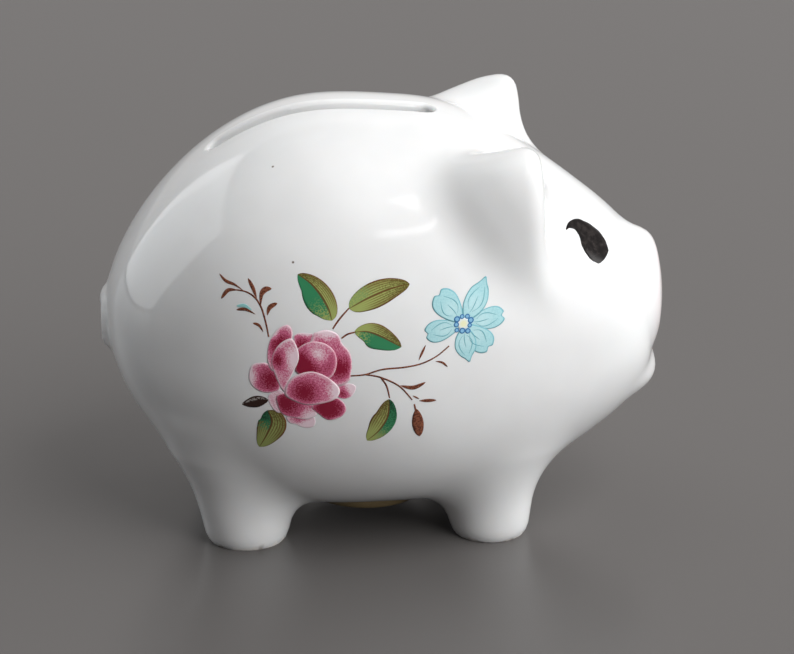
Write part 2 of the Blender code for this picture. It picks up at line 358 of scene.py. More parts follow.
def chinaMaterial():
    made, tree, shader = nodeMaterial("chinaGlaze")
    place = tree.nodes.new("ShaderNodeTexCoord").outputs["Object"]
    cloud = addNode(tree, "ShaderNodeTexNoise", None, Vector=place, Scale=38.0, Detail=3.0).outputs[0]
    colour = mixColour(tree, stretch(tree, cloud, 0.35, 0.7), (*china["cream"], 1), (*china["white"], 1))
    colour = mixColour(tree, readAttribute(tree, "blush"), colour, (*china["blush"], 1))
    bare = readAttribute(tree, "bare")
    colour = mixColour(tree, bare, colour, (*china["bisque"], 1))
    for spot in china["specks"]:
        centre = [c * mm for c in spot]
        away = addNode(tree, "ShaderNodeVectorMath", {"operation": "DISTANCE"}, i0=place, i1=centre)
        near = stretch(tree, away.outputs["Value"], 0.00034, 0.00010)
        colour = mixColour(tree, near, colour, (*china["speckColour"], 1))
    tree.links.new(colour, shader.inputs["Base Color"])
    gloss = calc(tree, "MULTIPLY_ADD", bare, 0.6)
    gloss.node.inputs[2].default_value = china["roughness"]
    tree.links.new(gloss, shader.inputs["Roughness"])
    ripple = addNode(tree, "ShaderNodeTexNoise", None, Vector=place, Scale=90.0, Detail=1.0).outputs[0]
    bump = addNode(tree, "ShaderNodeBump", None, Strength=0.05, Distance=0.001, Height=ripple)
    tree.links.new(bump.outputs[0], shader.inputs["Normal"])
    shader.inputs["IOR"].default_value = 1.5
    shader.inputs["Subsurface Weight"].default_value = 0.15
    shader.inputs["Subsurface Radius"].default_value = (1.0, 0.8, 0.65)
    shader.inputs["Subsurface Scale"].default_value = 0.0015
    return made


# evens out the faces between the belly and the inner sides of the feet, keeping them on the surface
def relaxFeet(obj):
    mesh = obj.data
    points = np.array([v.co for v in mesh.vertices]) / mm
    pairs = np.array([tuple(edge.vertices) for edge in mesh.edges])
    both = np.concatenate([pairs, pairs[:, ::-1]])
    valence = np.bincount(both[:, 0], minlength=len(points))[:, None]
    chosen = points[:, 2] < form["relaxBelow"]
    for i in range(form["relaxSteps"]):
        across = [np.bincount(both[:, 0], points[both[:, 1], axis], len(points)) for axis in range(3)]
        total = np.stack(across, -1)
        share = 0.5 if i < form["relaxSteps"] - 6 else 0.0
        moved = points[chosen] + share * ((total / valence)[chosen] - points[chosen])
        points[chosen] = moved - 0.9 * slopeAt(moved, outside) * outside(moved)[:, None]
    mesh.vertices.foreach_set("co", (points * mm).ravel())


# distance in plan from the coin slot's edge, below zero inside it
def fromSlot(x, y):
    rear, front, width = form["slot"]
    halfRun = (front - rear - width) / 2
    return np.hypot(np.maximum(np.abs(x - (rear + front) / 2) - halfRun, 0), y) - width / 2


# splits the faces round the slot finely, puts them back on the surface and rounds the lip over
def refineLip(obj):
    mesh = obj.data
    work = bmesh.new()
    work.from_mesh(mesh)
    near = []
    for face in work.faces:
        spot = face.calc_center_median() / mm
        if spot.z > form["slotAbove"] and abs(fromSlot(spot.x, spot.y)) < 2.4:
            near.append(face)
    edges = list({edge for face in near for edge in face.edges})
    bmesh.ops.subdivide_edges(work, edges=edges, cuts=5, use_grid_fill=True)
    work.verts.ensure_lookup_table()
    points = np.array([v.co for v in work.verts]) / mm
    chosen = (points[:, 2] > form["slotAbove"]) & (fromSlot(points[:, 0], points[:, 1]) < 5.0)
    centre = np.array(form["centre"])
    ways = points[chosen] - centre
    ways /= np.linalg.norm(ways, axis=1)[:, None]
    found = cast(centre, ways, outside, 25.0, 60.0, 40)
    lip = form["slotLip"]
    gap = np.clip(fromSlot(found[:, 0], found[:, 1]), 0, lip)
    found[:, 2] -= lip - np.sqrt(np.maximum(lip**2 - (lip - gap) ** 2, 0))
    points[chosen] = found
    for vertex, point in zip(work.verts, points):
        vertex.co = point * mm
    work.to_mesh(mesh)
    work.free()


def prism(name, outline, low, high):
    work = bmesh.new()
    base = work.faces.new([work.verts.new((x * mm, y * mm, low * mm)) for x, y in outline])
    grown = bmesh.ops.extrude_face_region(work, geom=[base], use_keep_orig=True)
    top = [item for item in grown["geom"] if isinstance(item, bmesh.types.BMVert)]
    bmesh.ops.translate(work, verts=top, vec=(0.0, 0.0, (high - low) * mm))
    return finishMesh(name, work)


def circle(x, y, radius, steps):
    turns = [2 * math.pi * i / steps for i in range(steps)]
    return [(x + radius * math.cos(t), y + radius * math.sin(t)) for t in turns]


def slotOutline():
    rear, front, width = form["slot"]
    radius = width / 2
    outline = []
    for middleX, start in ((front - radius, -0.5), (rear + radius, 0.5)):
        for i in range(17):
            turn = math.pi * (start + i / 16)
            outline.append((middleX + radius * math.cos(turn), radius * math.sin(turn)))
    return outline


def cutAway(obj, cutters):
    for cutter in cutters:
        modifier = obj.modifiers.new("cut", "BOOLEAN")
        modifier.operation = "DIFFERENCE"
        modifier.solver = "EXACT"
        modifier.object = cutter
    graph = bpy.context.evaluated_depsgraph_get()
    mesh = bpy.data.meshes.new_from_object(obj.evaluated_get(graph))
    obj.modifiers.clear()
    obj.data = mesh
    for cutter in cutters:
        bpy.data.objects.remove(cutter)


# stores where the snout is tinted and where the soles are bare
def paintBody(obj):
    mesh = obj.data
    count = len(mesh.vertices)
    points = np.empty(count * 3, np.float32)
    mesh.vertices.foreach_get("co", points)
    points = points.reshape(-1, 3) / mm
    rim = np.hypot(points[:, 1], points[:, 2] - 46.3)
    blush = np.clip((points[:, 0] - 51.5) / 3.5, 0, 1) * np.clip(1.2 - np.abs(rim - 8.5) / 6, 0, 1)
    bare = np.clip(1 - points[:, 2] / 0.12, 0, 1)
    for name, numbers in (("blush", 0.30 * blush), ("bare", bare)):
        mesh.attributes.new(name, "FLOAT", "POINT").data.foreach_set("value", numbers.astype(np.float32))


def chinaBody():
    glaze = chinaMaterial()
    body = shell("pigBody", outside, form["rings"], form["around"], glaze)
    relaxFeet(body)
    refineLip(body)
    holeX, holeRadius = form["hole"]
    seatRadius, seatZ = form["seat"]
    cutAway(body, [
        shell("coinSpace", inside, 60, 72, glaze),
        prism("table", [(-80, -60), (80, -60), (80, 60), (-80, 60)], -20, 0),
        prism("seat", circle(holeX, 0, seatRadius, 96), -10, seatZ),
        prism("hole", circle(holeX, 0, holeRadius, 96), -5, seatZ + 9),
        prism("slot", slotOutline(), 62, 98),
    ])
    paintBody(body)
    body.data.shade_smooth()
    body.data.set_sharp_from_angle(angle=math.radians(50))
    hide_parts("china_body")
    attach(body, "bank")
    return body


# rubber stopper

rubber = {
    "colour": (0.21, 0.155, 0.075),
    "dark": (0.13, 0.095, 0.05),
    "roughness": 0.5,
    "gap": 0.3,
    "groove": 0.5,
    "cupWall": 2.7,
    "steps": 96,
}


def stopperMaterial():
    made, tree, shader = nodeMaterial("stopperRubber")
    place = tree.nodes.new("ShaderNodeTexCoord").outputs["Object"]
    cloud = addNode(tree, "ShaderNodeTexNoise", None, Vector=place, Scale=220.0, Detail=4.0).outputs[0]
    colour = mixColour(tree, cloud, (*rubber["dark"], 1), (*rubber["colour"], 1))
    tree.links.new(colour, shader.inputs["Base Color"])
    shader.inputs["Roughness"].default_value = rubber["roughness"]
    grain = addNode(tree, "ShaderNodeTexNoise", None, Vector=place, Scale=2500.0, Detail=2.0).outputs[0]
    bump = addNode(tree, "ShaderNodeBump", None, Strength=0.15, Distance=0.0001, Height=grain)
    tree.links.new(bump.outputs[0], shader.inputs["Normal"])
    return made


# the plug's half section, spun about the hole's axis
def stopper():
    low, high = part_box("stopper")
    bottom = low.z / mm
    top = high.z / mm
    flange = (high.x - low.x) / 2 / mm
    holeX, holeRadius = form["hole"]
    seatZ = form["seat"][1]
    flangeTop = seatZ - rubber["gap"]
    bead = holeRadius - rubber["gap"]
    neck = bead - rubber["groove"]
    beadLow = seatZ + form["wall"] + rubber["gap"]
    cup = neck - rubber["cupWall"]
    profile = (
        (0.0, top), (bead - 2.2, top), (bead - 1.2, top - 0.25), (bead - 0.4, top - 0.9), (bead, top - 1.8),
        (bead - 0.1, beadLow + 0.5), (neck + 0.1, beadLow), (neck, beadLow - 0.5), (neck, flangeTop + 0.3),
        (neck + 0.3, flangeTop), (flange - 0.6, flangeTop), (flange - 0.15, flangeTop - 0.2),
        (flange, flangeTop - 0.7), (flange - 0.1, bottom + 0.5), (flange - 0.5, bottom + 0.1),
        (flange - 1.1, bottom), (cup + 2.6, bottom), (cup + 2.3, bottom + 0.25), (cup + 1.9, bottom + 0.25),
        (cup + 1.6, bottom), (cup + 0.9, bottom), (cup + 0.3, bottom + 0.15), (cup, bottom + 0.7),
        (cup, top - 3.4), (cup - 0.3, top - 2.8), (cup - 1.0, top - 2.4), (0.0, top - 2.4),
    )
    work = bmesh.new()
    corners = [work.verts.new(((holeX + radius) * mm, 0.0, height * mm)) for radius, height in profile]
    edges = [work.edges.new(pair) for pair in zip(corners, corners[1:])]
    bmesh.ops.spin(work, geom=corners + edges, cent=(holeX * mm, 0.0, 0.0), axis=(0.0, 0.0, 1.0),
                   angle=2 * math.pi, steps=rubber["steps"], use_merge=True)
    bmesh.ops.remove_doubles(work, verts=work.verts, dist=1e-7)
    plug = finishMesh("rubberPlug", work, None, stopperMaterial())
    plug.data.set_sharp_from_angle(angle=math.radians(55))
    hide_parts("stopper")
    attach(plug, "stopper")


# painted artwork: thin skins laid on the flank

art = {
    "skin": 0.008,
    "rose": {"crimson": (0.24, 0.008, 0.033), "pink": (0.60, 0.135, 0.25), "pale": (0.84, 0.65, 0.72)},
    "leaf": {
        "emerald": (0.035, 0.215, 0.095),
        "deep": (0.010, 0.045, 0.022),
        "lime": (0.32, 0.37, 0.115),
        "olive": (0.105, 0.105, 0.025),
        "brown": (0.12, 0.035, 0.012),
    },
    "charcoal": {"dark": (0.03, 0.012, 0.008), "light": (0.38, 0.35, 0.33)},
    "blossom": {
        "petal": (0.40, 0.67, 0.71),
        "glow": (0.72, 0.86, 0.88),
        "line": (0.13, 0.38, 0.45),
        "bead": (0.04, 0.16, 0.36),
        "beadHeart": (0.22, 0.45, 0.66),
        "heart": (0.78, 0.78, 0.52),
        "heartRim": (0.72, 0.80, 0.82),
    },
    "stem": {"brown": (0.25, 0.085, 0.045), "dark": (0.10, 0.028, 0.016), "teal": (0.30, 0.60, 0.60)},
    "gloss": 0.09,
}


def newArt():
    return {"places": [], "lifts": [], "sheets": [], "values": {}}


# adds one closed sheet: its (x, z) places, the faces over them and its border in order
def addSheet(piece, places, faces, border, lift, **values):
    first = sum(len(p) for p in piece["places"])
    piece["places"].append(np.array(places, float))
    piece["lifts"].append(np.full(len(places), float(lift)))
    piece["sheets"].append((first, faces, border))
    for key in ("along", "across", "rim", "deep", "pale", "tone"):
        numbers = np.broadcast_to(np.asarray(values.get(key, 0.0), float), (len(places),))
        piece["values"].setdefault(key, []).append(numbers)


def raised(places, lifts, side):
    start = np.stack([places[:, 0], np.zeros(len(places)), places[:, 1]], -1)
    ways = np.zeros_like(start)
    ways[:, 1] = side
    points = cast(start, ways, outside, 5.0, 45.0, 80)
    return points + slopeAt(points, outside) * lifts[:, None]


def finishArt(name, piece, material, node, side=-1):
    places = np.concatenate(piece["places"])
    lifts = np.concatenate(piece["lifts"])
    count = len(places)
    base = raised(places, lifts, side)
    top = raised(places, lifts + art["skin"], side)
    faces = []
    for first, local, border in piece["sheets"]:
        for face in local:
            faces.append(tuple(count + first + i for i in face))
            faces.append(tuple(first + i for i in reversed(face)))
        for i, a in enumerate(border):
            b = border[(i + 1) % len(border)]
            faces.append((first + a, first + b, count + first + b, count + first + a))
    values = {key: np.tile(np.concatenate(numbers), 2) for key, numbers in piece["values"].items()}
    obj = makeObject(name, np.concatenate([base, top]), faces, values, material)
    if node:
        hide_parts(node)
    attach(obj, "bank")
    return obj


# Catmull-Rom samples through the control points
def curveThrough(control, count, closed=False):
    control = np.array(control, float)
    number = len(control)
    spans = number if closed else number - 1
    samples = []
    for t in np.linspace(0, spans, count, endpoint=not closed):
        i = min(int(t), spans - 1)
        share = t - i
        if closed:
            a, b, c, d = (control[(i + k) % number] for k in (-1, 0, 1, 2))
        else:
            a, b, c, d = (control[min(max(i + k, 0), number - 1)] for k in (-1, 0, 1, 2))
        term = 2 * b + (c - a) * share + (2 * a - 5 * b + 4 * c - d) * share**2
        samples.append(0.5 * (term + (3 * b - a - 3 * c + d) * share**3))
    return np.array(samples)


# a closed outline filled from its middle
def addBlob(piece, control, lift, count=48, rings=7, deepAt=None, deepReach=5.0, paleAt=None, paleReach=4.0,
            tone=0.5):
    outline = curveThrough(control, count, True)
    middlePlace = outline.mean(0)
    places = [middlePlace]
    rim = [0.0]
    along = [0.0]
    across = [0.0]
    for ring in range(1, rings + 1):
        share = ring / rings
        places += list(middlePlace + (outline - middlePlace) * share)
        rim += [share] * count
        along += list(share * np.cos(np.arange(count) * 2 * math.pi / count))
        across += list(share * np.sin(np.arange(count) * 2 * math.pi / count))
    faces = [(0, 1 + i, 1 + (i + 1) % count) for i in range(count)]
    for ring in range(rings - 1):
        first = 1 + ring * count
        for i in range(count):
            j = (i + 1) % count
            faces.append((first + i, first + count + i, first + count + j, first + j))
    places = np.array(places)
    deep = pale = 0.0
    if deepAt:
        deep = np.clip(1 - np.hypot(*(places - deepAt).T) / deepReach, 0, 1)
    if paleAt:
        pale = np.clip(1 - np.hypot(*(places - paleAt).T) / paleReach, 0, 1)
    edge = [1 + (rings - 1) * count + i for i in range(count)]
    addSheet(piece, places, faces, edge, lift, rim=rim, along=along, across=across, deep=deep, pale=pale,
             tone=tone)


# a strip along a curve, with its own half width on each side at even shares of its length
def addStrip(piece, control, leftWidths, rightWidths, lift, count=28, columns=9, tone=0.5):
    spine = curveThrough(control, count)
    way = np.gradient(spine, axis=0)
    way /= np.linalg.norm(way, axis=1)[:, None]
    normal = np.stack([-way[:, 1], way[:, 0]], -1)
    shares = np.linspace(0, 1, count)
    left = np.interp(shares, np.linspace(0, 1, len(leftWidths)), leftWidths)
    right = np.interp(shares, np.linspace(0, 1, len(rightWidths)), rightWidths)
    places = []
    along = []
    across = []
    for column in range(columns):
        v = 2 * column / (columns - 1) - 1
        places += list(spine + normal * (v * np.where(v > 0, left, right))[:, None])
        along += list(shares)
        across += [v] * count
    faces = []
    for column in range(columns - 1):
        for i in range(count - 1):
            a = column * count + i
            faces.append((a, a + 1, a + count + 1, a + count))
    ends = [column * count + count - 1 for column in range(1, columns)]
    starts = [column * count for column in range(columns - 2, 0, -1)]
    back = list(range(columns * count - 2, (columns - 1) * count - 1, -1))
    edge = list(range(count)) + ends + back + starts
    addSheet(piece, places, faces, edge, lift, along=along, across=across, rim=np.abs(across), tone=tone)


def lens(width, count=15, power=0.8, lean=1.0):
    return [max(0.03, width * math.sin(math.pi * (i / (count - 1)) ** lean) ** power) for i in range(count)]


def printShader(name):
    made, tree, shader = nodeMaterial(name)
    shader.inputs["Roughness"].default_value = art["gloss"]
    place = tree.nodes.new("ShaderNodeTexCoord").outputs["Object"]
    return made, tree, shader, place


# fine printed stipple, 0 to 1
def dots(tree, place, scale):
    node = addNode(tree, "ShaderNodeTexNoise", None, Vector=place, Scale=scale, Detail=1.0)
    return stretch(tree, node.outputs[0], 0.38, 0.62)


def rosePrint():
    made, tree, shader, place = printShader("rosePrint")
    deep = readAttribute(tree, "deep")
    pale = readAttribute(tree, "pale")
    rim = readAttribute(tree, "rim")
    tone = readAttribute(tree, "tone")
    stipple = dots(tree, place, 4200.0)
    value = calc(tree, "ADD", tone, calc(tree, "MULTIPLY", pale, 0.75))
    value = calc(tree, "SUBTRACT", value, calc(tree, "MULTIPLY", deep, 0.75))
    value = calc(tree, "ADD", value, calc(tree, "MULTIPLY", stretch(tree, rim, 0.72, 0.95), 0.22))
    lines = calc(tree, "SINE", calc(tree, "MULTIPLY", rim, 42.0))
    value = calc(tree, "ADD", value, calc(tree, "MULTIPLY", lines, 0.045))
    grain = calc(tree, "MULTIPLY", calc(tree, "SUBTRACT", stipple, 0.5), 0.26)
    value = calc(tree, "ADD", value, grain, True)
    colours = art["rose"]
    colour = ramp(tree, value, ((0.0, colours["crimson"]), (0.48, colours["pink"]), (1.0, colours["pale"])))
    fade = calc(tree, "MULTIPLY", stretch(tree, rim, 0.90, 1.02), stretch(tree, stipple, 0.9, 0.2))
    colour = mixColour(tree, calc(tree, "MULTIPLY", fade, 0.8), colour, (*china["white"], 1))
    tree.links.new(colour, shader.inputs["Base Color"])
    low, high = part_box("rose_bloom")
    cx = (low.x + high.x) / 2 / mm - 0.2
    cz = (low.z + high.z) / 2 / mm + 0.5
    # outline, tone, deep place and reach, pale place and reach, painted from the back forward
    petals = (
        (((-6.2, -4.2), (-4.3, -2.7), (-3.0, -3.9), (-4.0, -7.6), (-5.6, -6.6)), 0.85, None, 1, None, 1),
        (((-2.8, -8.4), (-2.4, -9.7), (-1.0, -10.1), (-0.1, -10.6), (1.3, -10.8), (2.4, -10.2), (2.6, -8.9),
          (1.8, -7.9), (-0.6, -7.9)), 0.72, (0.0, -8.2), 2.0, (1.0, -10.0), 2.0),
        (((6.9, -1.7), (8.8, -1.1), (10.2, -1.8), (9.6, -3.6), (8.3, -4.3), (6.9, -4.0), (6.2, -2.7)),
         0.75, (7.6, -3.3), 2.2, (9.8, -2.0), 2.0),
        (((-1.3, 7.9), (-0.6, 8.7), (0.8, 8.9), (2.5, 8.6), (3.4, 7.6), (2.2, 6.4), (0.4, 5.8), (-0.8, 5.6)),
         0.55, (0.2, 6.4), 2.4, (0.8, 9.2), 1.4),
        (((2.0, 8.0), (3.6, 9.3), (5.3, 9.5), (6.9, 8.7), (7.7, 6.9), (9.0, 5.3), (9.5, 3.3), (9.3, 0.9),
          (8.9, -0.6), (7.1, -1.7), (4.0, -1.0), (1.5, 2.0)), 0.46, (7.2, 2.0), 3.2, (5.0, 9.6), 2.6),
        (((-9.8, -0.4), (-9.2, 1.8), (-7.7, 2.5), (-6.2, 2.4), (-4.6, 0.4), (-4.0, -2.3), (-5.2, -3.3),
          (-7.3, -3.5), (-9.2, -2.4)), 0.60, (-5.6, -0.9), 4.2, (-9.9, -0.6), 2.4),
        (((-4.6, -3.9), (-2.4, -3.4), (-0.1, -4.6), (2.2, -5.6), (2.9, -7.6), (1.3, -8.8), (-1.3, -8.6),
          (-3.6, -7.9), (-4.6, -5.8)), 0.48, (-3.0, -5.4), 4.0, (1.8, -8.4), 2.4),
        (((1.9, -6.0), (4.6, -4.6), (6.6, -4.1), (8.1, -5.4), (8.3, -7.0), (7.0, -8.5), (5.0, -8.9),
          (3.3, -7.7)), 0.34, (4.8, -6.4), 3.6, (6.6, -9.4), 1.6),
        (((-6.2, 2.7), (-6.2, 5.1), (-5.5, 7.6), (-4.1, 9.5), (-2.4, 10.3), (-1.5, 9.1), (-2.0, 6.6),
          (-4.0, 3.2), (-5.3, 1.0)), 0.50, (-3.6, 6.2), 3.2, (-5.2, 8.6), 1.6),
        (((-0.9, 5.3), (0.4, 6.6), (2.2, 7.3), (4.6, 6.9), (6.3, 5.3), (6.7, 3.0), (6.0, 0.7), (4.6, -0.2),
          (2.0, 0.2), (-0.8, 0.8), (-1.3, 3.0)), 0.26, (0.4, 2.4), 3.4, (3.2, 4.9), 3.0),
        (((-3.8, -2.4), (-5.0, 0.7), (-5.5, 3.0), (-4.8, 5.3), (-3.4, 7.0), (-1.7, 7.7), (-0.7, 6.1),
          (-0.4, 3.8), (-1.4, 1.2), (-2.5, -1.1), (-3.2, -2.9)), 0.58, (-4.2, 3.4), 2.6, (-1.2, 3.6), 3.0),
        (((-2.4, -0.9), (-0.6, 0.6), (2.0, 1.3), (4.6, 0.4), (6.9, -1.7), (7.0, -3.5), (5.3, -4.9),
          (1.3, -5.7), (-1.5, -4.9), (-3.2, -3.5)), 0.50, (0.6, -3.0), 3.4, (6.9, -2.6), 2.6),
    )
    piece = newArt()
    for layer, (outline, petalTone, deepAt, deepReach, paleAt, paleReach) in enumerate(petals):
        control = [(cx + x, cz + z) for x, z in outline]
        deepPlace = (cx + deepAt[0], cz + deepAt[1]) if deepAt else None
        palePlace = (cx + paleAt[0], cz + paleAt[1]) if paleAt else None
        lift = 0.012 + 0.004 * layer
        addBlob(piece, control, lift, 64, 12, deepPlace, deepReach, palePlace, paleReach, petalTone)
    finishArt("rosePetals", piece, made, "rose_bloom")


# green on one side of the midrib, hatched olive on the other, brown midrib and outline
def leafPrint(name, greenSide, greenEnd, hatchFrom, darkBase):
    made, tree, shader, place = printShader(name)
    colours = art["leaf"]
    run = readAttribute(tree, "along")
    rim = readAttribute(tree, "rim")
    signed = calc(tree, "MULTIPLY", readAttribute(tree, "across"), float(greenSide))
    grain = calc(tree, "MULTIPLY", calc(tree, "SUBTRACT", dots(tree, place, 3600.0), 0.5), 0.3)
    greenPart = stretch(tree, calc(tree, "ADD", run, grain), greenEnd + 0.12, greenEnd - 0.12)
    if darkBase:
        run = calc(tree, "SUBTRACT", 1.0, run)
    shade = calc(tree, "ADD", run, grain)
    last = colours["deep"] if darkBase else colours["emerald"]
    green = ramp(tree, shade, ((0.0, colours["lime"]), (0.4, colours["emerald"]), (1.0, last)))
    olive = ramp(tree, shade, ((0.0, colours["lime"]), (0.5, colours["lime"]), (1.0, colours["olive"])))
    reach = stretch(tree, run, hatchFrom, hatchFrom + 0.35)
    wave = calc(tree, "SINE", calc(tree, "MULTIPLY", rim, 36.0))
    lines = calc(tree, "MULTIPLY", stretch(tree, wave, 0.2, 0.8), reach)
    olive = mixColour(tree, calc(tree, "MULTIPLY", lines, 0.75), olive, (*colours["brown"], 1))
    browned = calc(tree, "MULTIPLY", calc(tree, "MULTIPLY", stretch(tree, rim, 0.3, 1.0), reach), 0.45)
    olive = mixColour(tree, browned, olive, (*colours["brown"], 1))
    share = calc(tree, "MULTIPLY", stretch(tree, signed, -0.03, 0.03), greenPart)
    colour = mixColour(tree, share, olive, green)
    midrib = stretch(tree, rim, 0.10, 0.04)
    edge = calc(tree, "MULTIPLY", stretch(tree, rim, 0.88, 0.96), stretch(tree, share, 0.5, 0.2))
    dark = calc(tree, "MULTIPLY", calc(tree, "MAXIMUM", midrib, edge), 0.8)
    colour = mixColour(tree, dark, colour, (*colours["brown"], 1))
    tree.links.new(colour, shader.inputs["Base Color"])
    return made


def leaves():
    # node, midrib from base to tip, left and right half widths, lean towards the tip,
    # green side and where it ends, where hatching starts, darkest at the base
    plans = (
        ("leaf_upper_left", ((-11.0, 54.7), (-11.6, 56.9), (-13.0, 59.4), (-14.9, 61.5), (-17.2, 62.9)),
         3.5, 2.1, 0.9, 1, 1.2, 0.1, False),
        ("leaf_upper_right", ((-7.8, 56.9), (-4.3, 58.7), (-0.2, 60.2), (3.6, 60.9)),
         2.4, 2.4, 0.85, 1, 0.25, 0.15, False),
        ("leaf_middle", ((-6.9, 52.5), (-4.4, 52.5), (-1.7, 51.4), (1.9, 49.2)),
         2.0, 2.9, 1.15, -1, 1.2, 0.25, False),
        ("leaf_lower_left", ((-23.2, 36.1), (-22.5, 33.7), (-23.4, 30.7), (-24.9, 27.3)),
         2.9, 2.5, 0.85, -1, 0.5, 0.1, True),
        ("leaf_lower_right", ((-0.4, 38.7), (-0.6, 35.0), (-2.2, 31.9), (-4.5, 29.6)),
         1.9, 2.8, 0.95, 1, 0.8, 0.15, True),
    )
    for node, control, left, right, lean, greenSide, greenEnd, hatchFrom, darkBase in plans:
        piece = newArt()
        addStrip(piece, control, lens(left, 15, 0.75, lean), lens(right, 15, 0.75, lean), 0.012, 36, 15)
        parts = node.split("_")
        name = parts[0] + "".join(word.title() for word in parts[1:])
        made = leafPrint(name + "Print", greenSide, greenEnd, hatchFrom, darkBase)
        finishArt(name, piece, made, node)
    made, tree, shader, place = printShader("budLeafPrint")
    colours = art["charcoal"]
    across = readAttribute(tree, "across")
    streak = calc(tree, "MULTIPLY", stretch(tree, across, 0.15, 0.45), stretch(tree, across, 0.85, 0.6))
    streak = calc(tree, "MULTIPLY", streak, dots(tree, place, 2600.0))
    colour = mixColour(tree, streak, (*colours["dark"], 1), (*colours["light"], 1))
    tree.links.new(colour, shader.inputs["Base Color"])
    piece = newArt()
    control = ((-28.0, 36.8), (-26.2, 37.4), (-24.6, 38.0), (-23.1, 38.3))
    addStrip(piece, control, lens(1.2), lens(1.2), 0.012, 24, 9)
    finishArt("darkBudLeaf", piece, made, "dark_bud_leaf")


def blossomPrint():
    made, tree, shader, place = printShader("blossomPrint")
    colours = art["blossom"]
    rim = readAttribute(tree, "rim")
    tone = readAttribute(tree, "tone")
    pale = readAttribute(tree, "pale")
    stipple = calc(tree, "MULTIPLY", dots(tree, place, 3200.0), 0.16)
    outline = calc(tree, "MULTIPLY", stretch(tree, rim, 0.88, 0.95), 0.85)
    line = (*colours["line"], 1)
    petal = mixColour(tree, stipple, (*colours["petal"], 1), line)
    petal = mixColour(tree, calc(tree, "MULTIPLY", pale, 0.35), petal, (*colours["glow"], 1))
    petal = mixColour(tree, outline, petal, line)
    heart = mixColour(tree, stretch(tree, rim, 0.3, 0.9), (*colours["heart"], 1), (*colours["heartRim"], 1))
    bead = mixColour(tree, stretch(tree, rim, 0.5, 0.7), (*colours["beadHeart"], 1), (*colours["bead"], 1))
    colour = mixColour(tree, calc(tree, "GREATER_THAN", tone, 0.2), petal, line)
    colour = mixColour(tree, calc(tree, "GREATER_THAN", tone, 0.5), colour, heart)
    colour = mixColour(tree, calc(tree, "GREATER_THAN", tone, 0.8), colour, bead)
    tree.links.new(colour, shader.inputs["Base Color"])
    low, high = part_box("blue_blossom")
    cx = (low.x + high.x) / 2 / mm
    cz = (low.z + high.z) / 2 / mm - 0.1
    notched = ((0.08, -0.10), (0.35, -0.36), (0.66, -0.50), (0.88, -0.42), (1.0, -0.20), (0.94, 0.0),
               (0.99, 0.18), (0.86, 0.44), (0.64, 0.50), (0.35, 0.36), (0.08, 0.10))
    pointed = ((0.08, -0.10), (0.32, -0.42), (0.58, -0.50), (0.80, -0.34), (0.93, -0.12), (1.04, 0.06),
               (0.90, 0.20), (0.68, 0.44), (0.36, 0.42), (0.08, 0.10))
    # direction, length, breadth and outline of each petal, back to front
    petals = (
        (4, 8.0, 4.2, notched),
        (-47, 7.6, 4.6, notched),
        (190, 7.4, 4.3, notched),
        (-83, 7.5, 4.3, pointed),
        (128, 8.0, 5.0, notched),
        (60, 9.0, 4.6, pointed),
    )
    piece = newArt()
    for layer, (angle, length, breadth, shape) in enumerate(petals):
        turn = math.radians(angle)
        ahead = np.array((math.cos(turn), math.sin(turn)))
        aside = np.array((-math.sin(turn), math.cos(turn)))
        origin = np.array((cx, cz))
        control = [origin + ahead * length * u + aside * breadth * v for u, v in shape]
        glow = tuple(origin + ahead * length * 0.45)
        addBlob(piece, control, 0.012 + 0.003 * layer, 64, 10, paleAt=glow, paleReach=2.6, tone=0.0)
        for v, start, end in ((-0.28, 0.30, 0.84), (-0.04, 0.26, 0.62), (0.26, 0.32, 0.80)):
            share = np.linspace(0, 1, 6)
            bow = v * (0.35 + 0.75 * np.sin(math.pi * share**0.8))
            run = start + (end - start) * share
            vein = [origin + ahead * length * t + aside * breadth * w for t, w in zip(run, bow)]
            addStrip(piece, vein, lens(0.08), lens(0.08), 0.034 + 0.001 * layer, 14, 3, 0.3)
    addBlob(piece, circle(cx, cz, 1.15, 12), 0.044, 32, 4, tone=0.6)
    for i in range(9):
        turn = 2 * math.pi * i / 9 + 0.35
        reach = 1.5 + 0.25 * math.sin(3.0 * i)
        size = 0.52 + 0.08 * math.cos(2.0 * i)
        x = cx + reach * math.cos(turn)
        z = cz + reach * math.sin(turn)
        addBlob(piece, circle(x, z, size, 8), 0.050 + 0.001 * i, 20, 5, tone=0.9)
    finishArt("blueBlossom", piece, made, "blue_blossom")


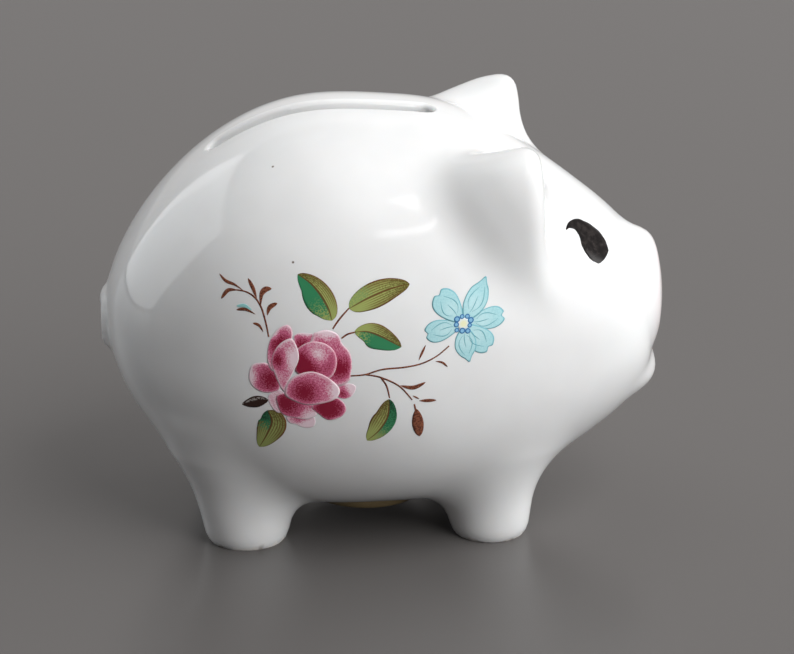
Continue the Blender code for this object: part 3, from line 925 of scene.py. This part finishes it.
def stems():
    made, tree, shader, place = printShader("stemPrint")
    colours = art["stem"]
    tone = readAttribute(tree, "tone")
    colour = mixColour(tree, dots(tree, place, 3000.0), (*colours["brown"], 1), (*colours["dark"], 1))
    colour = mixColour(tree, calc(tree, "GREATER_THAN", tone, 0.8), colour, (*colours["teal"], 1))
    tree.links.new(colour, shader.inputs["Base Color"])
    thin = [0.14, 0.17, 0.17, 0.15, 0.12]
    sprig = newArt()
    stalk = ((-22.8, 51.1), (-23.3, 53.8), (-24.1, 56.6), (-25.3, 58.3), (-26.9, 59.1), (-28.7, 59.2))
    addStrip(sprig, stalk, thin, thin, 0.012, 40, 3)
    leaflets = (
        (((-28.4, 59.2), (-30.2, 58.9), (-31.5, 57.2)), 0.34),
        (((-27.4, 59.3), (-29.0, 60.1), (-30.6, 60.5), (-31.7, 61.5)), 0.30),
        (((-24.9, 58.1), (-25.5, 59.8), (-26.4, 61.5)), 0.36),
        (((-24.2, 56.8), (-24.0, 58.9), (-23.2, 59.9), (-22.1, 60.1)), 0.50),
        (((-23.0, 55.2), (-22.5, 56.7), (-21.1, 57.6)), 0.42),
        (((-25.2, 55.2), (-27.0, 55.9), (-28.7, 55.6)), 0.30),
        (((-23.8, 52.0), (-24.6, 53.2), (-25.7, 53.5)), 0.28),
    )
    for control, width in leaflets:
        halfWidths = lens(width, 11, 0.7, 1.3)
        addStrip(sprig, control, halfWidths, halfWidths, 0.016, 18, 5)
    addStrip(sprig, ((-25.9, 55.9), (-27.2, 56.6), (-28.7, 56.3)), lens(0.45), lens(0.3), 0.010, 16, 5, 0.9)
    finishArt("brownSprig", sprig, made, None)
    stem = newArt()
    runs = (
        ((-10.9, 53.1), (-9.6, 55.0), (-7.8, 57.0)),
        ((-9.3, 51.3), (-8.1, 52.1), (-6.6, 52.5)),
        ((-8.0, 43.8), (-4.9, 44.0), (-1.7, 44.9), (2.6, 45.1), (5.8, 45.6), (8.6, 46.8), (11.0, 48.6)),
        ((-4.9, 44.0), (-2.0, 43.3), (1.5, 41.3), (4.0, 38.2)),
        ((-2.0, 43.3), (-0.9, 41.5), (-0.3, 38.9)),
        ((4.4, 37.3), (4.6, 36.2), (4.9, 34.8)),
    )
    for i, control in enumerate(runs):
        addStrip(stem, control, thin, thin, 0.012 + 0.001 * i, 36, 3)
    twigs = (
        (((5.2, 46.3), (5.8, 47.7), (6.5, 49.2)), 0.22),
        (((8.4, 45.8), (9.7, 45.4), (10.7, 44.4)), 0.22),
        (((1.7, 41.4), (4.2, 40.8), (6.5, 41.7)), 0.42),
        (((4.1, 39.1), (5.3, 38.3)), 0.16),
        (((5.3, 37.9), (7.0, 37.8), (8.6, 37.7)), 0.36),
        (((4.8, 36.2), (5.1, 33.2), (5.5, 29.9)), 1.12),
    )
    for i, (control, width) in enumerate(twigs):
        halfWidths = lens(width, 13, 0.75, 1.1)
        addStrip(stem, control, halfWidths, halfWidths, 0.020 + 0.001 * i, 20, 5)
    finishArt("brownStems", stem, made, None)


# painted eyes

eyes = {
    "black": (0.012, 0.0105, 0.0105),
    "brushed": (0.028, 0.024, 0.023),
    "roughness": 0.16,
    "spine": ((34.7, 64.8), (35.6, 65.2), (37.2, 64.8), (38.7, 63.5), (39.8, 61.9), (40.7, 60.2),
              (41.2, 58.8), (41.3, 57.8)),
    "outer": (0.1, 0.4, 0.55, 0.8, 1.35, 1.95, 2.3, 2.3, 0.3),
    "inner": (0.1, 0.45, 0.8, 1.2, 1.9, 2.0, 1.75, 1.2, 0.2),
}


def eyePaint():
    made, tree, shader = nodeMaterial("eyeEnamel")
    place = tree.nodes.new("ShaderNodeTexCoord").outputs["Object"]
    cloud = addNode(tree, "ShaderNodeTexNoise", None, Vector=place, Scale=900.0, Detail=3.0).outputs[0]
    colour = mixColour(tree, stretch(tree, cloud, 0.4, 0.7), (*eyes["black"], 1), (*eyes["brushed"], 1))
    tree.links.new(colour, shader.inputs["Base Color"])
    shader.inputs["Roughness"].default_value = eyes["roughness"]
    for node, side in (("right_eye", -1), ("left_eye", 1)):
        piece = newArt()
        addStrip(piece, eyes["spine"], eyes["outer"], eyes["inner"], 0.012, 48, 13)
        finishArt(node.split("_")[0] + "Eye", piece, made, node, side)


# stage, light and camera

studio = {
    "floor": (0.105, 0.099, 0.097),
    "target": (0.0034, 0.0, 0.038),
    "azimuth": -3.5,
    "elevation": 22.0,
    "distance": 0.6,
    "lens": 136.0,
    "ambient": 0.095,
    "ambientColour": (1.0, 0.96, 0.94),
    "floorRoughness": 0.27,
    # name, azimuth, elevation, reach, width, height, watts, colour, seen in reflections
    "lights": (
        ("window", -42, 46, 1.1, 0.9, 0.9, 11.5, (1.0, 0.995, 0.985), False),
        ("lowWindow", -40, 10, 1.0, 0.5, 0.25, 3.6, (1.0, 1.0, 1.0), False),
        ("skylight", 120, 70, 1.1, 0.9, 0.7, 1.5, (1.0, 1.0, 1.0), False),
        ("sideWindow", 16, 38, 1.1, 0.8, 0.8, 4.8, (1.0, 1.0, 1.0), False),
        ("farWall", 93, 20, 1.6, 2.6, 1.3, 5.0, (1.0, 0.965, 0.95), True),
        ("leftWall", 157, 20, 0.9, 0.9, 0.7, 3.0, (0.95, 0.98, 1.0), True),
        ("paneHigh", -46, 62, 1.0, 0.22, 0.22, 0.4, (1.0, 1.0, 1.0), True),
        ("paneLow", -64, 46, 1.0, 0.34, 0.08, 0.24, (1.0, 1.0, 1.0), True),
        ("paneFront", -5, 18, 1.0, 0.30, 0.30, 0.6, (1.0, 1.0, 1.0), True),
    ),
}


def floorAndWorld():
    work = bmesh.new()
    bmesh.ops.create_grid(work, x_segments=8, y_segments=8, size=3.0)
    mesh = bpy.data.meshes.new("floor")
    work.to_mesh(mesh)
    work.free()
    floor = bpy.data.objects.new("floor", mesh)
    bpy.context.scene.collection.objects.link(floor)
    made, tree, shader = nodeMaterial("floorPaper")
    place = tree.nodes.new("ShaderNodeTexCoord").outputs["Object"]
    cloud = addNode(tree, "ShaderNodeTexNoise", None, Vector=place, Scale=3.0, Detail=2.0).outputs[0]
    base = studio["floor"]
    colour = mixColour(tree, cloud, (*[c * 0.96 for c in base], 1), (*[c * 1.04 for c in base], 1))
    tree.links.new(colour, shader.inputs["Base Color"])
    shader.inputs["Roughness"].default_value = studio["floorRoughness"]
    mesh.materials.append(made)
    world = bpy.data.worlds.new("studio")
    world.use_nodes = True
    world.node_tree.nodes["Background"].inputs[0].default_value = (*studio["ambientColour"], 1)
    world.node_tree.nodes["Background"].inputs[1].default_value = studio["ambient"]
    bpy.context.scene.world = world


# an area light that faces the pig from a direction given in degrees
def softBox(name, azimuth, elevation, reach, width, height, watts, colour, mirrored):
    turn = math.radians(azimuth)
    rise = math.radians(elevation)
    way = Vector((math.cos(turn) * math.cos(rise), math.sin(turn) * math.cos(rise), math.sin(rise)))
    light = bpy.data.lights.new(name, "AREA")
    light.shape = "RECTANGLE"
    light.size = width
    light.size_y = height
    light.energy = watts
    light.color = colour
    obj = bpy.data.objects.new(name, light)
    obj.location = Vector((0.0, 0.0, 0.04)) + way * reach
    obj.rotation_euler = way.to_track_quat("Z", "Y").to_euler()
    obj.visible_glossy = mirrored
    bpy.context.scene.collection.objects.link(obj)


def addCamera():
    azimuth = math.radians(studio["azimuth"])
    elevation = math.radians(studio["elevation"])
    level = math.cos(elevation)
    back = Vector((math.sin(azimuth) * level, -math.cos(azimuth) * level, math.sin(elevation)))
    data = bpy.data.cameras.new("camera")
    data.lens = studio["lens"]
    data.sensor_width = 36.0
    data.clip_start = 0.01
    camera = bpy.data.objects.new("camera", data)
    camera.location = Vector(studio["target"]) + back * studio["distance"]
    camera.rotation_euler = back.to_track_quat("Z", "Y").to_euler()
    bpy.context.scene.collection.objects.link(camera)
    bpy.context.scene.camera = camera


def lights():
    for light in studio["lights"]:
        softBox(*light)
    bpy.context.scene.view_settings.view_transform = "Standard"


chinaBody()
say("china body")
stopper()
say("stopper")
eyePaint()
say("eyes")
rosePrint()
say("rose")
leaves()
say("leaves")
blossomPrint()
say("blossom")
stems()
say("stems")
floorAndWorld()
lights()
addCamera()
say("stage, light and camera")
